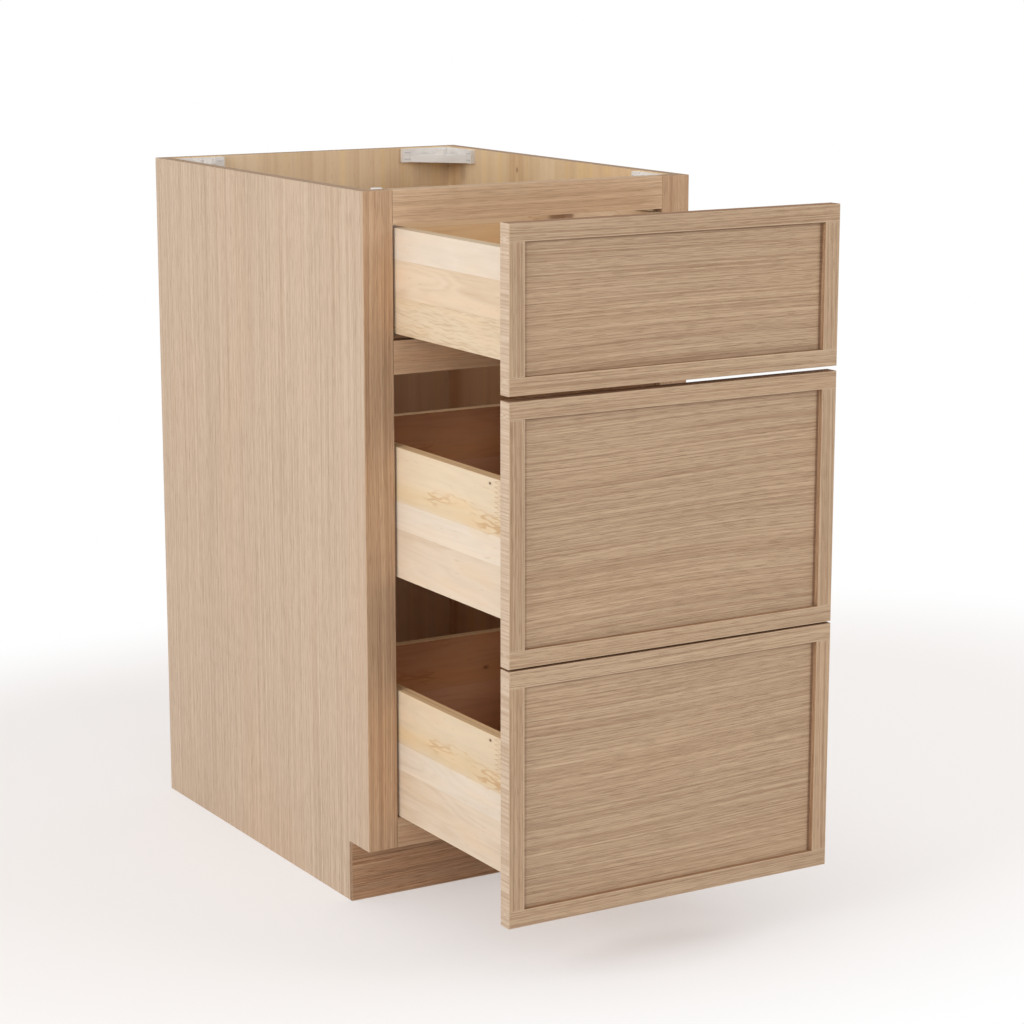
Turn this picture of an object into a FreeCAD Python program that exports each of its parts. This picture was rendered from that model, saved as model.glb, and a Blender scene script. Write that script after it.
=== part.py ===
import FreeCAD, Part
import os
import re

import Sketcher

# Base cabinet with three drawers, drawn with every drawer standing partly open.
# Frame: floor at Z 0, wall at Y 0, front towards -Y, X 0 at mid width. Lengths in millimetres.

doc = FreeCAD.newDocument("base_cabinet")
sizes = doc.addObject("Spreadsheet::Sheet", "sizes")

DRIVING_SIZES = (
    ("cabinet_width", 457.2, "outside of one side panel to the other"),
    ("cabinet_height", 876.3, "floor to the top edges, under the worktop"),
    ("cabinet_depth", 590, "wall to the front of the face frame"),
    ("kick_height", 76, "floor to the underside of the face frame"),
    ("kick_recess", 46, "front of the face frame to the toe kick"),
    ("kick_skin", 6, "facing strip on the toe kick"),
    ("kick_board", 12.7, "board behind the facing strip"),
    ("side_thick", 16, "side panels"),
    ("back_thick", 12.7, "back panel"),
    ("back_rabbet", 8, "how far the back sits into each side"),
    ("floor_thick", 16, "cabinet floor"),
    ("floor_top", 104, "height of the floor's upper face"),
    ("dado_depth", 6, "how far the floor sits into each side"),
    ("frame_thick", 19, "face frame, front to back"),
    ("frame_member", 40, "width of the stiles and full rails"),
    ("middle_rail_top", 699, "upper edge of the rail under the top drawer"),
    ("bottom_rail_top", 113.5, "upper edge of the lowest rail"),
    ("tenon_length", 15, "rail tenons of the face frame"),
    ("tenon_thick", 8, "rail tenons of the face frame"),
    ("tenon_shoulder", 5, "rail edge to tenon edge"),
    ("arris", 1, "rounding of the edges that a hand meets"),
    ("front_reveal", 8.2, "cabinet side to drawer front side"),
    ("front_thick", 18, "drawer fronts"),
    ("front_member", 20, "width of the slim frame round each drawer front"),
    ("front_recess", 6.5, "frame face back to panel face"),
    ("tongue_thick", 6, "panel edge that sits in the frame's groove"),
    ("tongue_length", 8, "depth of the frame's groove"),
    ("panel_play", 0.4, "room for the panel to swell"),
    ("front_base", 76, "floor to the lowest drawer front"),
    ("large_front_height", 297.6, "middle and bottom drawer fronts"),
    ("small_front_height", 186.7, "top drawer front"),
    ("lower_front_gap", 2.4, "between the middle and bottom fronts"),
    ("upper_front_gap", 6, "between the top and middle fronts"),
    ("closed_gap", 1.5, "face frame to a closed drawer front"),
    ("open_distance", 298.5, "how far the drawers stand open"),
    ("box_gap", 3, "face frame opening to the side of a drawer box"),
    ("box_board", 15, "sides, front and back of a drawer box"),
    ("box_length", 508, "drawer box, front to back"),
    ("large_box_height", 158, "middle and bottom drawer boxes"),
    ("small_box_height", 124.5, "top drawer box"),
    ("bottom_box_base", 115, "floor to the lowest drawer box"),
    ("middle_box_base", 414, "floor to the middle drawer box"),
    ("top_box_base", 707.5, "floor to the top drawer box"),
    ("box_bottom_lift", 13, "lower edge of the box to its bottom panel"),
    ("box_bottom_thick", 6, "bottom panel of a drawer box"),
    ("box_groove", 6, "groove for the bottom panel"),
    ("lock_thick", 5, "tongue that locks a box corner"),
    ("lock_length", 6, "tongue that locks a box corner"),
    ("lock_inset", 7, "end of the side to its corner groove"),
    ("runner_notch", 36, "width of the notch in the box back over a runner"),
    ("cleat_height", 45, "spacer that carries a runner behind the stile"),
    ("cleat_drop", 10, "drawer box base down to the spacer's lower edge"),
    ("cleat_end_gap", 18, "spacer's rear end to the back panel"),
    ("sheet_thick", 1.5, "steel of the runners"),
    ("runner_length", 500, "cabinet member of a runner"),
    ("runner_start", 3, "back of the face frame to the runner"),
    ("runner_flange", 28, "screw flange above the drawer box base"),
    ("runner_web_drop", 4.5, "runner's web below the drawer box base"),
    ("inner_width", 11.5, "cabinet member's track"),
    ("middle_width", 17.5, "middle member"),
    ("outer_width", 23.5, "drawer member"),
    ("track_play", 0.6, "drawer member to the box side"),
    ("inner_top", 6.7, "top of the cabinet member's track"),
    ("middle_top", 9.7, "top of the middle member"),
    ("outer_skirt", 2, "lower edge of the drawer member"),
    ("middle_length", 470, "middle member of a runner"),
    ("outer_length", 490, "drawer member of a runner"),
    ("runner_hole_radius", 2.5, "screw holes of a runner"),
    ("runner_hole_pitch", 128, "screw holes of a runner"),
    ("clip_width", 28, "locking clip, across the drawer"),
    ("clip_length", 40, "locking clip, front to back"),
    ("clip_height", 11, "locking clip"),
    ("clip_lever", 12, "release lever of the locking clip"),
    ("brace_leg", 76, "corner brace, along each wall"),
    ("brace_height", 18.5, "corner brace"),
    ("brace_drop", 1.5, "cabinet top to the top of a brace"),
    ("brace_wall", 3, "moulded walls of a brace"),
    ("brace_pad", 14, "thick end of each brace leg"),
    ("brace_pad_thick", 7, "thick end of each brace leg"),
    ("brace_web_drop", 8, "top of a brace to its web"),
    ("brace_rib_reach", 69, "corner to the diagonal rib's outer face, along a leg"),
    ("brace_boss", 28, "corner to the screw boss, along each leg"),
    ("brace_boss_radius", 7, "screw boss"),
    ("brace_hole_radius", 2.5, "hole for the worktop screw"),
)

for row, (alias, number, meaning) in enumerate(DRIVING_SIZES, start=1):
    sizes.set(f"A{row}", meaning)
    sizes.set(f"B{row}", str(number))
    sizes.setAlias(f"B{row}", alias)
doc.recompute()

# Places that several pieces share, as formulas on the driving sizes.
HALF_WIDTH = "cabinet_width / 2"
HALF_INSIDE = f"({HALF_WIDTH} - side_thick)"
HALF_OPENING = f"({HALF_WIDTH} - frame_member)"
HALF_BOX = f"({HALF_OPENING} - box_gap)"
FRAME_BACK = "(cabinet_depth - frame_thick)"
KICK_FRONT = "(cabinet_depth - kick_recess)"
FRONT_WIDTH = "(cabinet_width - 2 * front_reveal)"
DRAWER_PLANE = "(cabinet_depth + closed_gap + open_distance)"

LEFT = 1
RIGHT = -1
HANDS = {"left": LEFT, "right": RIGHT}

sub_parts = []


def in_sheet(text):
    """Make a formula such as "side_thick + 2" read its names from the sheet."""
    return re.sub(r"[a-z_]+", lambda word: "sizes." + word.group(), text)


def value(text):
    """The number that a formula gives."""
    return float(sizes.evalExpression(in_sheet(text)))


def new_body(label, x="0", y="0", z="0", turn=0):
    """An empty body whose own origin stands at x, y, z and is turned about Z."""
    body = doc.addObject("PartDesign::Body", label)
    body.Label = label
    body.Placement.Rotation = FreeCAD.Rotation(FreeCAD.Vector(0, 0, 1), turn)
    for axis, place in (("x", x), ("y", y), ("z", z)):
        body.setExpression(f"Placement.Base.{axis}", in_sheet(place))
    return body


def sketch_on(body, plane, start):
    """A sketch parallel to one of the body's origin planes, start along its normal."""
    role = plane + "_Plane"
    origin_plane = next(item for item in body.Origin.OriginFeatures if item.Role == role)
    sketch = body.newObject("Sketcher::SketchObject", "Sketch")
    sketch.AttachmentSupport = [(origin_plane, "")]
    sketch.MapMode = "FlatFace"
    sketch.setExpression("AttachmentOffset.Base.z", in_sheet(start))
    return sketch


def pin_point(sketch, geometry, point, across, up):
    """Hold one point of a sketch at two formulas, measured from the sketch's origin."""
    for kind, formula in (("DistanceX", across), ("DistanceY", up)):
        constraint = Sketcher.Constraint(kind, -1, 1, geometry, point, value(formula))
        index = sketch.addConstraint(constraint)
        sketch.setExpression(f"Constraints[{index}]", in_sheet(formula))


def draw_outline(sketch, corners):
    """A closed outline of straight lines through corners given as pairs of formulas."""
    points = [FreeCAD.Vector(value(across), value(up), 0) for across, up in corners]
    first = sketch.GeometryCount
    count = len(points)
    for place, point in enumerate(points):
        sketch.addGeometry(Part.LineSegment(point, points[(place + 1) % count]))
    for place, (across, up) in enumerate(corners):
        line_before = first + (place - 1) % count
        sketch.addConstraint(Sketcher.Constraint("Coincident", line_before, 2, first + place, 1))
        pin_point(sketch, first + place, 1, across, up)


def draw_circle(sketch, across, up, radius):
    """A circle whose centre and radius are formulas."""
    centre = FreeCAD.Vector(value(across), value(up), 0)
    circle = Part.Circle(centre, FreeCAD.Vector(0, 0, 1), value(radius))
    index = sketch.addGeometry(circle)
    pin_point(sketch, index, 3, across, up)
    bound = sketch.addConstraint(Sketcher.Constraint("Radius", index, value(radius)))
    sketch.setExpression(f"Constraints[{bound}]", in_sheet(radius))


def rectangle(across, up, width, height):
    """Corners of a rectangle, from its lower left corner and its two sides."""
    far = f"{across} + {width}"
    top = f"{up} + {height}"
    return [(across, up), (far, up), (far, top), (across, top)]


def pad(body, sketch, length):
    """Grow a sketch into material, along its normal."""
    feature = body.newObject("PartDesign::Pad", "Pad")
    feature.Profile = sketch
    feature.setExpression("Length", in_sheet(length))
    body.Tip = feature
    return feature


def pocket(body, sketch, length):
    """Cut a sketch out of the body, along its normal."""
    feature = body.newObject("PartDesign::Pocket", "Pocket")
    feature.Profile = sketch
    feature.Reversed = True
    feature.setExpression("Length", in_sheet(length))
    body.Tip = feature
    return feature


def pad_outline(body, plane, corners, start, length):
    sketch = sketch_on(body, plane, start)
    draw_outline(sketch, corners)
    return pad(body, sketch, length)


def cut_outline(body, plane, corners, start, length):
    sketch = sketch_on(body, plane, start)
    draw_outline(sketch, corners)
    return pocket(body, sketch, length)


def round_edges(body, radius, chosen):
    """Round the edges of the body's last shape for which chosen(edge) holds."""
    doc.recompute()
    base = body.Tip
    names = [f"Edge{n}" for n, edge in enumerate(base.Shape.Edges, start=1) if chosen(edge)]
    feature = body.newObject("PartDesign::Fillet", "Fillet")
    feature.Base = (base, names)
    feature.setExpression("Radius", in_sheet(radius))
    body.Tip = feature
    return feature


def runs_along(edge, axis):
    """True for a straight edge parallel to one axis: 0 for X, 1 for Y, 2 for Z."""
    start, end = (vertex.Point for vertex in edge.Vertexes)
    return all(abs(start[n] - end[n]) < 0.001 for n in range(3) if n != axis)


def lies_at(edge, axis, place):
    """True where both ends of an edge are at the same place along an axis."""
    return all(abs(vertex.Point[axis] - place) < 0.001 for vertex in edge.Vertexes)


def finish(item):
    """Count a finished object as one of the cabinet's sub-parts."""
    sub_parts.append(item)
    return item


def pair(label, one_side):
    """A piece and its mirror image on the other side of the cabinet, as one sub-part."""
    twin = doc.addObject("Part::Mirroring", label + "_twin")
    twin.Source = one_side
    twin.Normal = FreeCAD.Vector(1, 0, 0)
    both = doc.addObject("Part::Compound", label)
    both.Label = label
    both.Links = [one_side, twin]
    return finish(both)


# ---- Carcass -------------------------------------------------------------------------------

def side_panel(name, hand):
    """Full-height side with a rabbet for the back, a dado for the floor and a toe notch."""
    outer = f"{-hand} * {HALF_WIDTH}"
    body = new_body(f"{name}_side_panel", x=outer)
    thick = f"{hand} * side_thick"
    lap = f"{hand} * (side_thick - back_rabbet)"
    front = f"-{FRAME_BACK}"
    plan = [("0", front), (thick, front), (thick, "-back_thick"), (lap, "-back_thick"),
            (lap, "0"), ("0", "0")]
    pad_outline(body, "XY", plan, "0", "cabinet_height")
    dado = f"{hand} * (side_thick - dado_depth)"
    slot = [(dado, front), (thick, front), (thick, "-back_thick"), (dado, "-back_thick")]
    cut_outline(body, "XY", slot, "floor_top - floor_thick", "floor_thick")
    notch_back = f"-({KICK_FRONT} - kick_skin)"
    notch = [("0", front), (thick, front), (thick, notch_back), ("0", notch_back)]
    cut_outline(body, "XY", notch, "0", "kick_height")
    return finish(body)


def back_panel():
    body = new_body("back_panel")
    half = f"({HALF_INSIDE} + back_rabbet)"
    plan = rectangle(f"-{half}", "-back_thick", f"2 * {half}", "back_thick")
    pad_outline(body, "XY", plan, "0", "cabinet_height")
    return finish(body)


def cabinet_floor():
    body = new_body("cabinet_floor", z="floor_top - floor_thick")
    half = f"({HALF_INSIDE} + dado_depth)"
    plan = rectangle(f"-{half}", f"-{FRAME_BACK}", f"2 * {half}", f"{FRAME_BACK} - back_thick")
    pad_outline(body, "XY", plan, "0", "floor_thick")
    return finish(body)


def toe_kick():
    """The board between the sides and the facing strip that covers it and their edges."""
    board = new_body("toe_kick_board")
    back_edge = f"-({KICK_FRONT} - kick_skin)"
    plan = rectangle(f"-{HALF_INSIDE}", back_edge, f"2 * {HALF_INSIDE}", "kick_board")
    pad_outline(board, "XY", plan, "0", "floor_top - floor_thick")
    finish(board)
    skin = new_body("toe_kick_facing")
    strip = rectangle(f"-{HALF_WIDTH}", f"-{KICK_FRONT}", "cabinet_width", "kick_skin")
    pad_outline(skin, "XY", strip, "0", "kick_height")
    finish(skin)


RAILS = {
    "top": ("cabinet_height - frame_member", "frame_member"),
    "middle": ("middle_rail_top - frame_member", "frame_member"),
    "bottom": ("kick_height", "(bottom_rail_top - kick_height)"),
}
TENON_FRONT = "(frame_thick + tenon_thick) / 2"


def frame_stile(name, hand):
    """Upright of the face frame, with a mortise for each rail's tenon."""
    outer = f"{-hand} * {HALF_WIDTH}"
    body = new_body(f"face_frame_{name}_stile", x=outer, y=f"-{FRAME_BACK}", z="kick_height")
    wide = f"{hand} * frame_member"
    plan = [("0", "0"), (wide, "0"), (wide, "-frame_thick"), ("0", "-frame_thick")]
    pad_outline(body, "XY", plan, "0", "cabinet_height - kick_height")
    bottom_of_mortise = f"{hand} * (frame_member - tenon_length)"
    mouth = [(bottom_of_mortise, f"-{TENON_FRONT}"), (wide, f"-{TENON_FRONT}"),
             (wide, f"tenon_thick - {TENON_FRONT}"),
             (bottom_of_mortise, f"tenon_thick - {TENON_FRONT}")]
    for lower_edge, height in RAILS.values():
        foot = f"{lower_edge} + tenon_shoulder - kick_height"
        cut_outline(body, "XY", mouth, foot, f"{height} - 2 * tenon_shoulder")
    front = -value("frame_thick")
    round_edges(body, "arris", lambda edge: runs_along(edge, 2) and lies_at(edge, 1, front))
    return finish(body)


def frame_rail(name, lower_edge, height):
    """Crosspiece of the face frame, tenoned into both stiles."""
    body = new_body(f"face_frame_{name}_rail", y=f"-{FRAME_BACK}", z=lower_edge)
    tenon = [(f"-{TENON_FRONT}", "tenon_shoulder"),
             (f"tenon_thick - {TENON_FRONT}", "tenon_shoulder"),
             (f"tenon_thick - {TENON_FRONT}", f"{height} - tenon_shoulder"),
             (f"-{TENON_FRONT}", f"{height} - tenon_shoulder")]
    reach = f"({HALF_OPENING} + tenon_length)"
    pad_outline(body, "YZ", rectangle("-frame_thick", "0", "frame_thick", height),
                f"-{HALF_OPENING}", f"2 * {HALF_OPENING}")
    pad_outline(body, "YZ", tenon, f"-{reach}", f"2 * {reach}")
    return finish(body)


def corner_brace(name, x, y, turn):
    """Moulded brace: two walls, a sunk web, thick ends, a diagonal rib and a screw boss."""
    body = new_body(f"{name}_corner_brace", x=x, y=y, turn=turn,
                    z="cabinet_height - brace_drop - brace_height")
    walls = [("0", "0"), ("brace_leg", "0"), ("brace_leg", "brace_pad_thick"),
             ("brace_leg - brace_pad", "brace_pad_thick"), ("brace_leg - brace_pad", "brace_wall"),
             ("brace_wall", "brace_wall"), ("brace_wall", "brace_leg - brace_pad"),
             ("brace_pad_thick", "brace_leg - brace_pad"), ("brace_pad_thick", "brace_leg"),
             ("0", "brace_leg")]
    pad_outline(body, "XY", walls, "0", "brace_height")
    web_foot = "brace_height - brace_web_drop - brace_wall"
    web = [("0", "0"), ("brace_rib_reach", "0"), ("0", "brace_rib_reach")]
    pad_outline(body, "XY", web, web_foot, "brace_wall")
    rib_inside = "brace_rib_reach - 1.5 * brace_wall"
    rib_outside = "brace_rib_reach - 0.5 * brace_wall"
    rib = [(rib_inside, "brace_wall / 2"), (rib_outside, "brace_wall / 2"),
           ("brace_wall / 2", rib_outside), ("brace_wall / 2", rib_inside)]
    pad_outline(body, "XY", rib, "0", web_foot)
    boss = sketch_on(body, "XY", "0")
    draw_circle(boss, "brace_boss", "brace_boss", "brace_boss_radius")
    pad(body, boss, "brace_height")
    hole = sketch_on(body, "XY", "0")
    draw_circle(hole, "brace_boss", "brace_boss", "brace_hole_radius")
    pocket(body, hole, "brace_height")
    return finish(body)


# ---- Runners -------------------------------------------------------------------------------
# Each runner is three nested steel channels under the drawer's bottom panel. Sketches are drawn
# across the left runner with X running from the stile's edge towards the middle of the cabinet.

TRACK_MIDDLE = "(box_gap + box_board + track_play + outer_width / 2)"
LEFT_EDGE = f"-{HALF_OPENING}"


def channel(width, top, skirt):
    """Section of a steel channel, open below and centred on the runner's track."""
    left = f"{TRACK_MIDDLE} - {width} / 2"
    right = f"{TRACK_MIDDLE} + {width} / 2"
    inside_top = f"{top} - sheet_thick"
    return [(left, skirt), (left, top), (right, top), (right, skirt),
            (f"{right} - sheet_thick", skirt), (f"{right} - sheet_thick", inside_top),
            (f"{left} + sheet_thick", inside_top), (f"{left} + sheet_thick", skirt)]


def cabinet_runners(drawer, base):
    """Fixed members: a screw flange on the spacer, a web under the box side and the track."""
    back_end = f"-({FRAME_BACK} - runner_start - runner_length)"
    body = new_body(f"{drawer}_cabinet_runner", x=LEFT_EDGE, y=back_end, z=base)
    left = f"{TRACK_MIDDLE} - inner_width / 2"
    right = f"{TRACK_MIDDLE} + inner_width / 2"
    inside_top = "inner_top - sheet_thick"
    web_top = "sheet_thick - runner_web_drop"
    section = [("0", "-runner_web_drop"), ("0", "runner_flange"), ("sheet_thick", "runner_flange"),
               ("sheet_thick", web_top), (left, web_top), (left, "inner_top"),
               (right, "inner_top"), (right, web_top), (f"{right} - sheet_thick", web_top),
               (f"{right} - sheet_thick", inside_top), (f"{left} + sheet_thick", inside_top),
               (f"{left} + sheet_thick", "-runner_web_drop")]
    pad_outline(body, "XZ", section, "0", "runner_length")
    holes = sketch_on(body, "YZ", "0")
    first = "(runner_length - 3 * runner_hole_pitch) / 2"
    for place in range(4):
        along = f"-({first} + {place} * runner_hole_pitch)"
        draw_circle(holes, along, "runner_flange / 2 + box_bottom_thick", "runner_hole_radius")
    pocket(body, holes, "sheet_thick")
    return pair(f"{drawer}_cabinet_runners", body)


def middle_runners(drawer, base):
    """Sliding members between cabinet and drawer, half as far out as the drawer."""
    front_end = f"{FRAME_BACK} - runner_start + open_distance / 2"
    body = new_body(f"{drawer}_middle_runner", x=LEFT_EDGE, z=base,
                    y=f"-({front_end} - middle_length)")
    pad_outline(body, "XZ", channel("middle_width", "middle_top", "0"), "0", "middle_length")
    return pair(f"{drawer}_middle_runners", body)


def drawer_runners(drawer, base):
    """Outer members, which the drawer's bottom panel rests on."""
    body = new_body(f"{drawer}_drawer_runner", x=LEFT_EDGE, z=base,
                    y=f"-({DRAWER_PLANE} - box_board - outer_length)")
    section = channel("outer_width", "box_bottom_lift", "outer_skirt")
    pad_outline(body, "XZ", section, "0", "outer_length")
    return pair(f"{drawer}_drawer_runners", body)


def locking_clips(drawer, base):
    """Moulded clips behind the box front that latch the drawer to its runners."""
    body = new_body(f"{drawer}_locking_clip", x=f"{LEFT_EDGE} + {TRACK_MIDDLE} + outer_width / 2",
                    y=f"-({DRAWER_PLANE} - box_board)", z=f"{base} + box_bottom_lift - clip_height")
    lever_root = "clip_length - clip_lever"
    plan = [("0", "0"), ("clip_width", "0"), ("clip_width", f"{lever_root} - clip_lever / 2"),
            ("clip_width + clip_lever", lever_root), ("clip_width + clip_lever", "clip_length"),
            ("clip_width", "clip_length"), ("clip_width - clip_lever / 2", lever_root),
            ("0", lever_root)]
    pad_outline(body, "XY", plan, "0", "clip_height")
    grip = rectangle("clip_width / 5", "clip_lever / 2", "3 * clip_width / 5", "clip_lever")
    cut_outline(body, "XY", grip, "0", "clip_height / 2")
    return pair(f"{drawer}_locking_clips", body)


def runner_cleats(bases):
    """Spacers that bring the runners' screw face out to the face frame's edge."""
    cleats = []
    for place, base in enumerate(bases):
        body = new_body(f"runner_cleat_{place}", x=f"-{HALF_INSIDE}", y=f"-{FRAME_BACK}",
                        z=f"{base} - cleat_drop")
        length = f"{FRAME_BACK} - back_thick - cleat_end_gap"
        plan = rectangle("0", "0", f"{HALF_INSIDE} - {HALF_OPENING}", length)
        pad_outline(body, "XY", plan, "0", "cleat_height")
        twin = doc.addObject("Part::Mirroring", f"runner_cleat_{place}_twin")
        twin.Source = body
        twin.Normal = FreeCAD.Vector(1, 0, 0)
        cleats += [body, twin]
    both = doc.addObject("Part::Compound", "runner_cleats")
    both.Label = "runner_cleats"
    both.Links = cleats
    return finish(both)


# ---- Drawer fronts -------------------------------------------------------------------------

GROOVE_FRONT = "(front_thick - front_recess)"
GROOVE_BACK = f"({GROOVE_FRONT} - tongue_thick)"


def front_rail(drawer, name, z, up):
    """Full-width rail with the panel's groove along its inner edge; up is 1 or -1."""
    body = new_body(f"{drawer}_drawer_front_{name}_rail", x=f"-{FRONT_WIDTH} / 2",
                    y=f"-{DRAWER_PLANE}", z=z)
    outer = f"{up} * front_member"
    floor_of_groove = f"{up} * tongue_length"
    section = [("0", "0"), ("0", outer), ("-front_thick", outer), ("-front_thick", "0"),
               (f"-{GROOVE_FRONT}", "0"), (f"-{GROOVE_FRONT}", floor_of_groove),
               (f"-{GROOVE_BACK}", floor_of_groove), (f"-{GROOVE_BACK}", "0")]
    pad_outline(body, "YZ", section, "0", FRONT_WIDTH)
    front = -value("front_thick")
    outer_edge = value(outer)

    def is_outer_arris(edge):
        along = runs_along(edge, 0) and lies_at(edge, 2, outer_edge)
        end = runs_along(edge, 2) and lies_at(edge, 1, front)
        return lies_at(edge, 1, front) and (along or end)

    round_edges(body, "arris", is_outer_arris)
    return finish(body)


def front_stile(drawer, name, hand, base, height):
    """Upright between the rails, with a groove for the panel and a tongue at each end."""
    body = new_body(f"{drawer}_drawer_front_{name}_stile", x=f"{-hand} * {FRONT_WIDTH} / 2",
                    y=f"-{DRAWER_PLANE}", z=f"{base} + front_member")
    wide = f"{hand} * front_member"
    floor_of_groove = f"{hand} * (front_member - tongue_length)"
    length = f"{height} - 2 * front_member"
    section = [("0", "0"), (wide, "0"), (wide, f"-{GROOVE_BACK}"),
               (floor_of_groove, f"-{GROOVE_BACK}"), (floor_of_groove, f"-{GROOVE_FRONT}"),
               (wide, f"-{GROOVE_FRONT}"), (wide, "-front_thick"), ("0", "-front_thick")]
    pad_outline(body, "XY", section, "0", length)
    tongue = [("0", f"-{GROOVE_BACK}"), (floor_of_groove, f"-{GROOVE_BACK}"),
              (floor_of_groove, f"-{GROOVE_FRONT}"), ("0", f"-{GROOVE_FRONT}")]
    pad_outline(body, "XY", tongue, "-tongue_length", f"{length} + 2 * tongue_length")
    front = -value("front_thick")
    outer_arris = (lambda edge: runs_along(edge, 2) and lies_at(edge, 1, front)
                   and lies_at(edge, 0, 0))
    round_edges(body, "arris", outer_arris)
    return finish(body)


def front_panel(drawer, base, height):
    """Sunk panel: a field that fills the frame from behind and a tongue all round it."""
    body = new_body(f"{drawer}_drawer_front_panel", y=f"-{DRAWER_PLANE}", z=f"{base} + front_member")
    half = f"({FRONT_WIDTH} / 2 - front_member)"
    tall = f"({height} - 2 * front_member)"
    lap = "(tongue_length - panel_play)"
    tongue = rectangle(f"-({half} + {lap})", f"-{lap}", f"2 * ({half} + {lap})", f"{tall} + 2 * {lap}")
    pad_outline(body, "XZ", tongue, GROOVE_BACK, "tongue_thick")
    field = rectangle(f"-({half} - panel_play)", "panel_play", f"2 * ({half} - panel_play)",
                      f"{tall} - 2 * panel_play")
    pad_outline(body, "XZ", field, "0", GROOVE_BACK)
    return finish(body)


# ---- Drawer boxes --------------------------------------------------------------------------

def box_side(drawer, name, hand, base, height):
    """Side board with the bottom panel's groove and a groove near each end for the corners."""
    body = new_body(f"{drawer}_drawer_{name}_side", x=f"{-hand} * {HALF_BOX}",
                    y=f"-{DRAWER_PLANE}", z=base)
    inner = f"{hand} * box_board"
    groove = f"{hand} * (box_board - box_groove)"
    section = [("0", "0"), (inner, "0"), (inner, "box_bottom_lift"), (groove, "box_bottom_lift"),
               (groove, "box_bottom_lift + box_bottom_thick"),
               (inner, "box_bottom_lift + box_bottom_thick"), (inner, height), ("0", height)]
    pad_outline(body, "XZ", section, "-box_length", "box_length")
    lock = f"{hand} * (box_board - lock_length)"
    for near in ("lock_inset", "box_length - lock_inset - lock_thick"):
        far = f"{near} + lock_thick"
        slot = [(lock, near), (inner, near), (inner, far), (lock, far)]
        cut_outline(body, "XY", slot, "0", height)
    top = value(height)
    round_edges(body, "arris", lambda edge: lies_at(edge, 2, top) and lies_at(edge, 0, 0))
    return finish(body)


def box_end(drawer, name, base, height, faces_back):
    """Front or back board between the sides, with a locking tongue at each end."""
    outer_face = f"-{DRAWER_PLANE}"
    if not faces_back:
        outer_face = f"box_length - {DRAWER_PLANE}"
    into_box = 1 if faces_back else -1
    body = new_body(f"{drawer}_drawer_box_{name}", y=outer_face, z=base)
    half = f"({HALF_BOX} - box_board)"
    reach = f"({half} + lock_length)"
    near = f"{into_box} * lock_inset"
    far = f"{into_box} * (lock_inset + lock_thick)"
    inner = f"{into_box} * box_board"
    plan = [(f"-{half}", "0"), (half, "0"), (half, near), (reach, near), (reach, far), (half, far),
            (half, inner), (f"-{half}", inner), (f"-{half}", far), (f"-{reach}", far),
            (f"-{reach}", near), (f"-{half}", near)]
    pad_outline(body, "XY", plan, "0", height)
    groove = f"{into_box} * (box_board - box_groove)"
    slot = [(f"-{reach}", groove), (reach, groove), (reach, inner), (f"-{reach}", inner)]
    cut_outline(body, "XY", slot, "box_bottom_lift", "box_bottom_thick")
    if not faces_back:
        notches = sketch_on(body, "XY", "0")
        for side in (LEFT, RIGHT):
            edge = f"{side} * {reach}"
            inside = f"{side} * ({half} - runner_notch)"
            draw_outline(notches, [(edge, "0"), (inside, "0"), (inside, inner), (edge, inner)])
        pocket(body, notches, "box_bottom_lift")
    return finish(body)


def box_bottom(drawer, base):
    body = new_body(f"{drawer}_drawer_bottom", y=f"-{DRAWER_PLANE}", z=f"{base} + box_bottom_lift")
    half = f"({HALF_BOX} - box_board + box_groove - panel_play)"
    start = "box_board - box_groove + panel_play"
    plan = rectangle(f"-{half}", start, f"2 * {half}", f"box_length - 2 * ({start})")
    pad_outline(body, "XY", plan, "0", "box_bottom_thick")
    return finish(body)


# ---- The whole cabinet -----------------------------------------------------------------------

for name, hand in HANDS.items():
    side_panel(name, hand)
    frame_stile(name, hand)
back_panel()
cabinet_floor()
toe_kick()
for name, (lower_edge, height) in RAILS.items():
    frame_rail(name, lower_edge, height)

corner_brace("front_left", f"-{HALF_INSIDE}", f"-{FRAME_BACK}", 0)
corner_brace("front_right", HALF_INSIDE, f"-{FRAME_BACK}", 90)
corner_brace("rear_right", HALF_INSIDE, "-back_thick", 180)
corner_brace("rear_left", f"-{HALF_INSIDE}", "-back_thick", 270)

MIDDLE_FRONT_BASE = "(front_base + large_front_height + lower_front_gap)"
TOP_FRONT_BASE = f"({MIDDLE_FRONT_BASE} + large_front_height + upper_front_gap)"
DRAWERS = {
    "top": (TOP_FRONT_BASE, "small_front_height", "top_box_base", "small_box_height"),
    "middle": (MIDDLE_FRONT_BASE, "large_front_height", "middle_box_base", "large_box_height"),
    "bottom": ("front_base", "large_front_height", "bottom_box_base", "large_box_height"),
}

for drawer, (front_z, front_height, box_z, box_height) in DRAWERS.items():
    front_rail(drawer, "upper", f"{front_z} + {front_height} - front_member", 1)
    front_rail(drawer, "lower", f"{front_z} + front_member", -1)
    for name, hand in HANDS.items():
        front_stile(drawer, name, hand, front_z, front_height)
        box_side(drawer, name, hand, box_z, box_height)
    front_panel(drawer, front_z, front_height)
    box_end(drawer, "front", box_z, box_height, True)
    box_end(drawer, "back", box_z, box_height, False)
    box_bottom(drawer, box_z)
    cabinet_runners(drawer, box_z)
    middle_runners(drawer, box_z)
    drawer_runners(drawer, box_z)
    locking_clips(drawer, box_z)

runner_cleats([box_z for _, _, box_z, _ in DRAWERS.values()])

doc.recompute()

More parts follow.
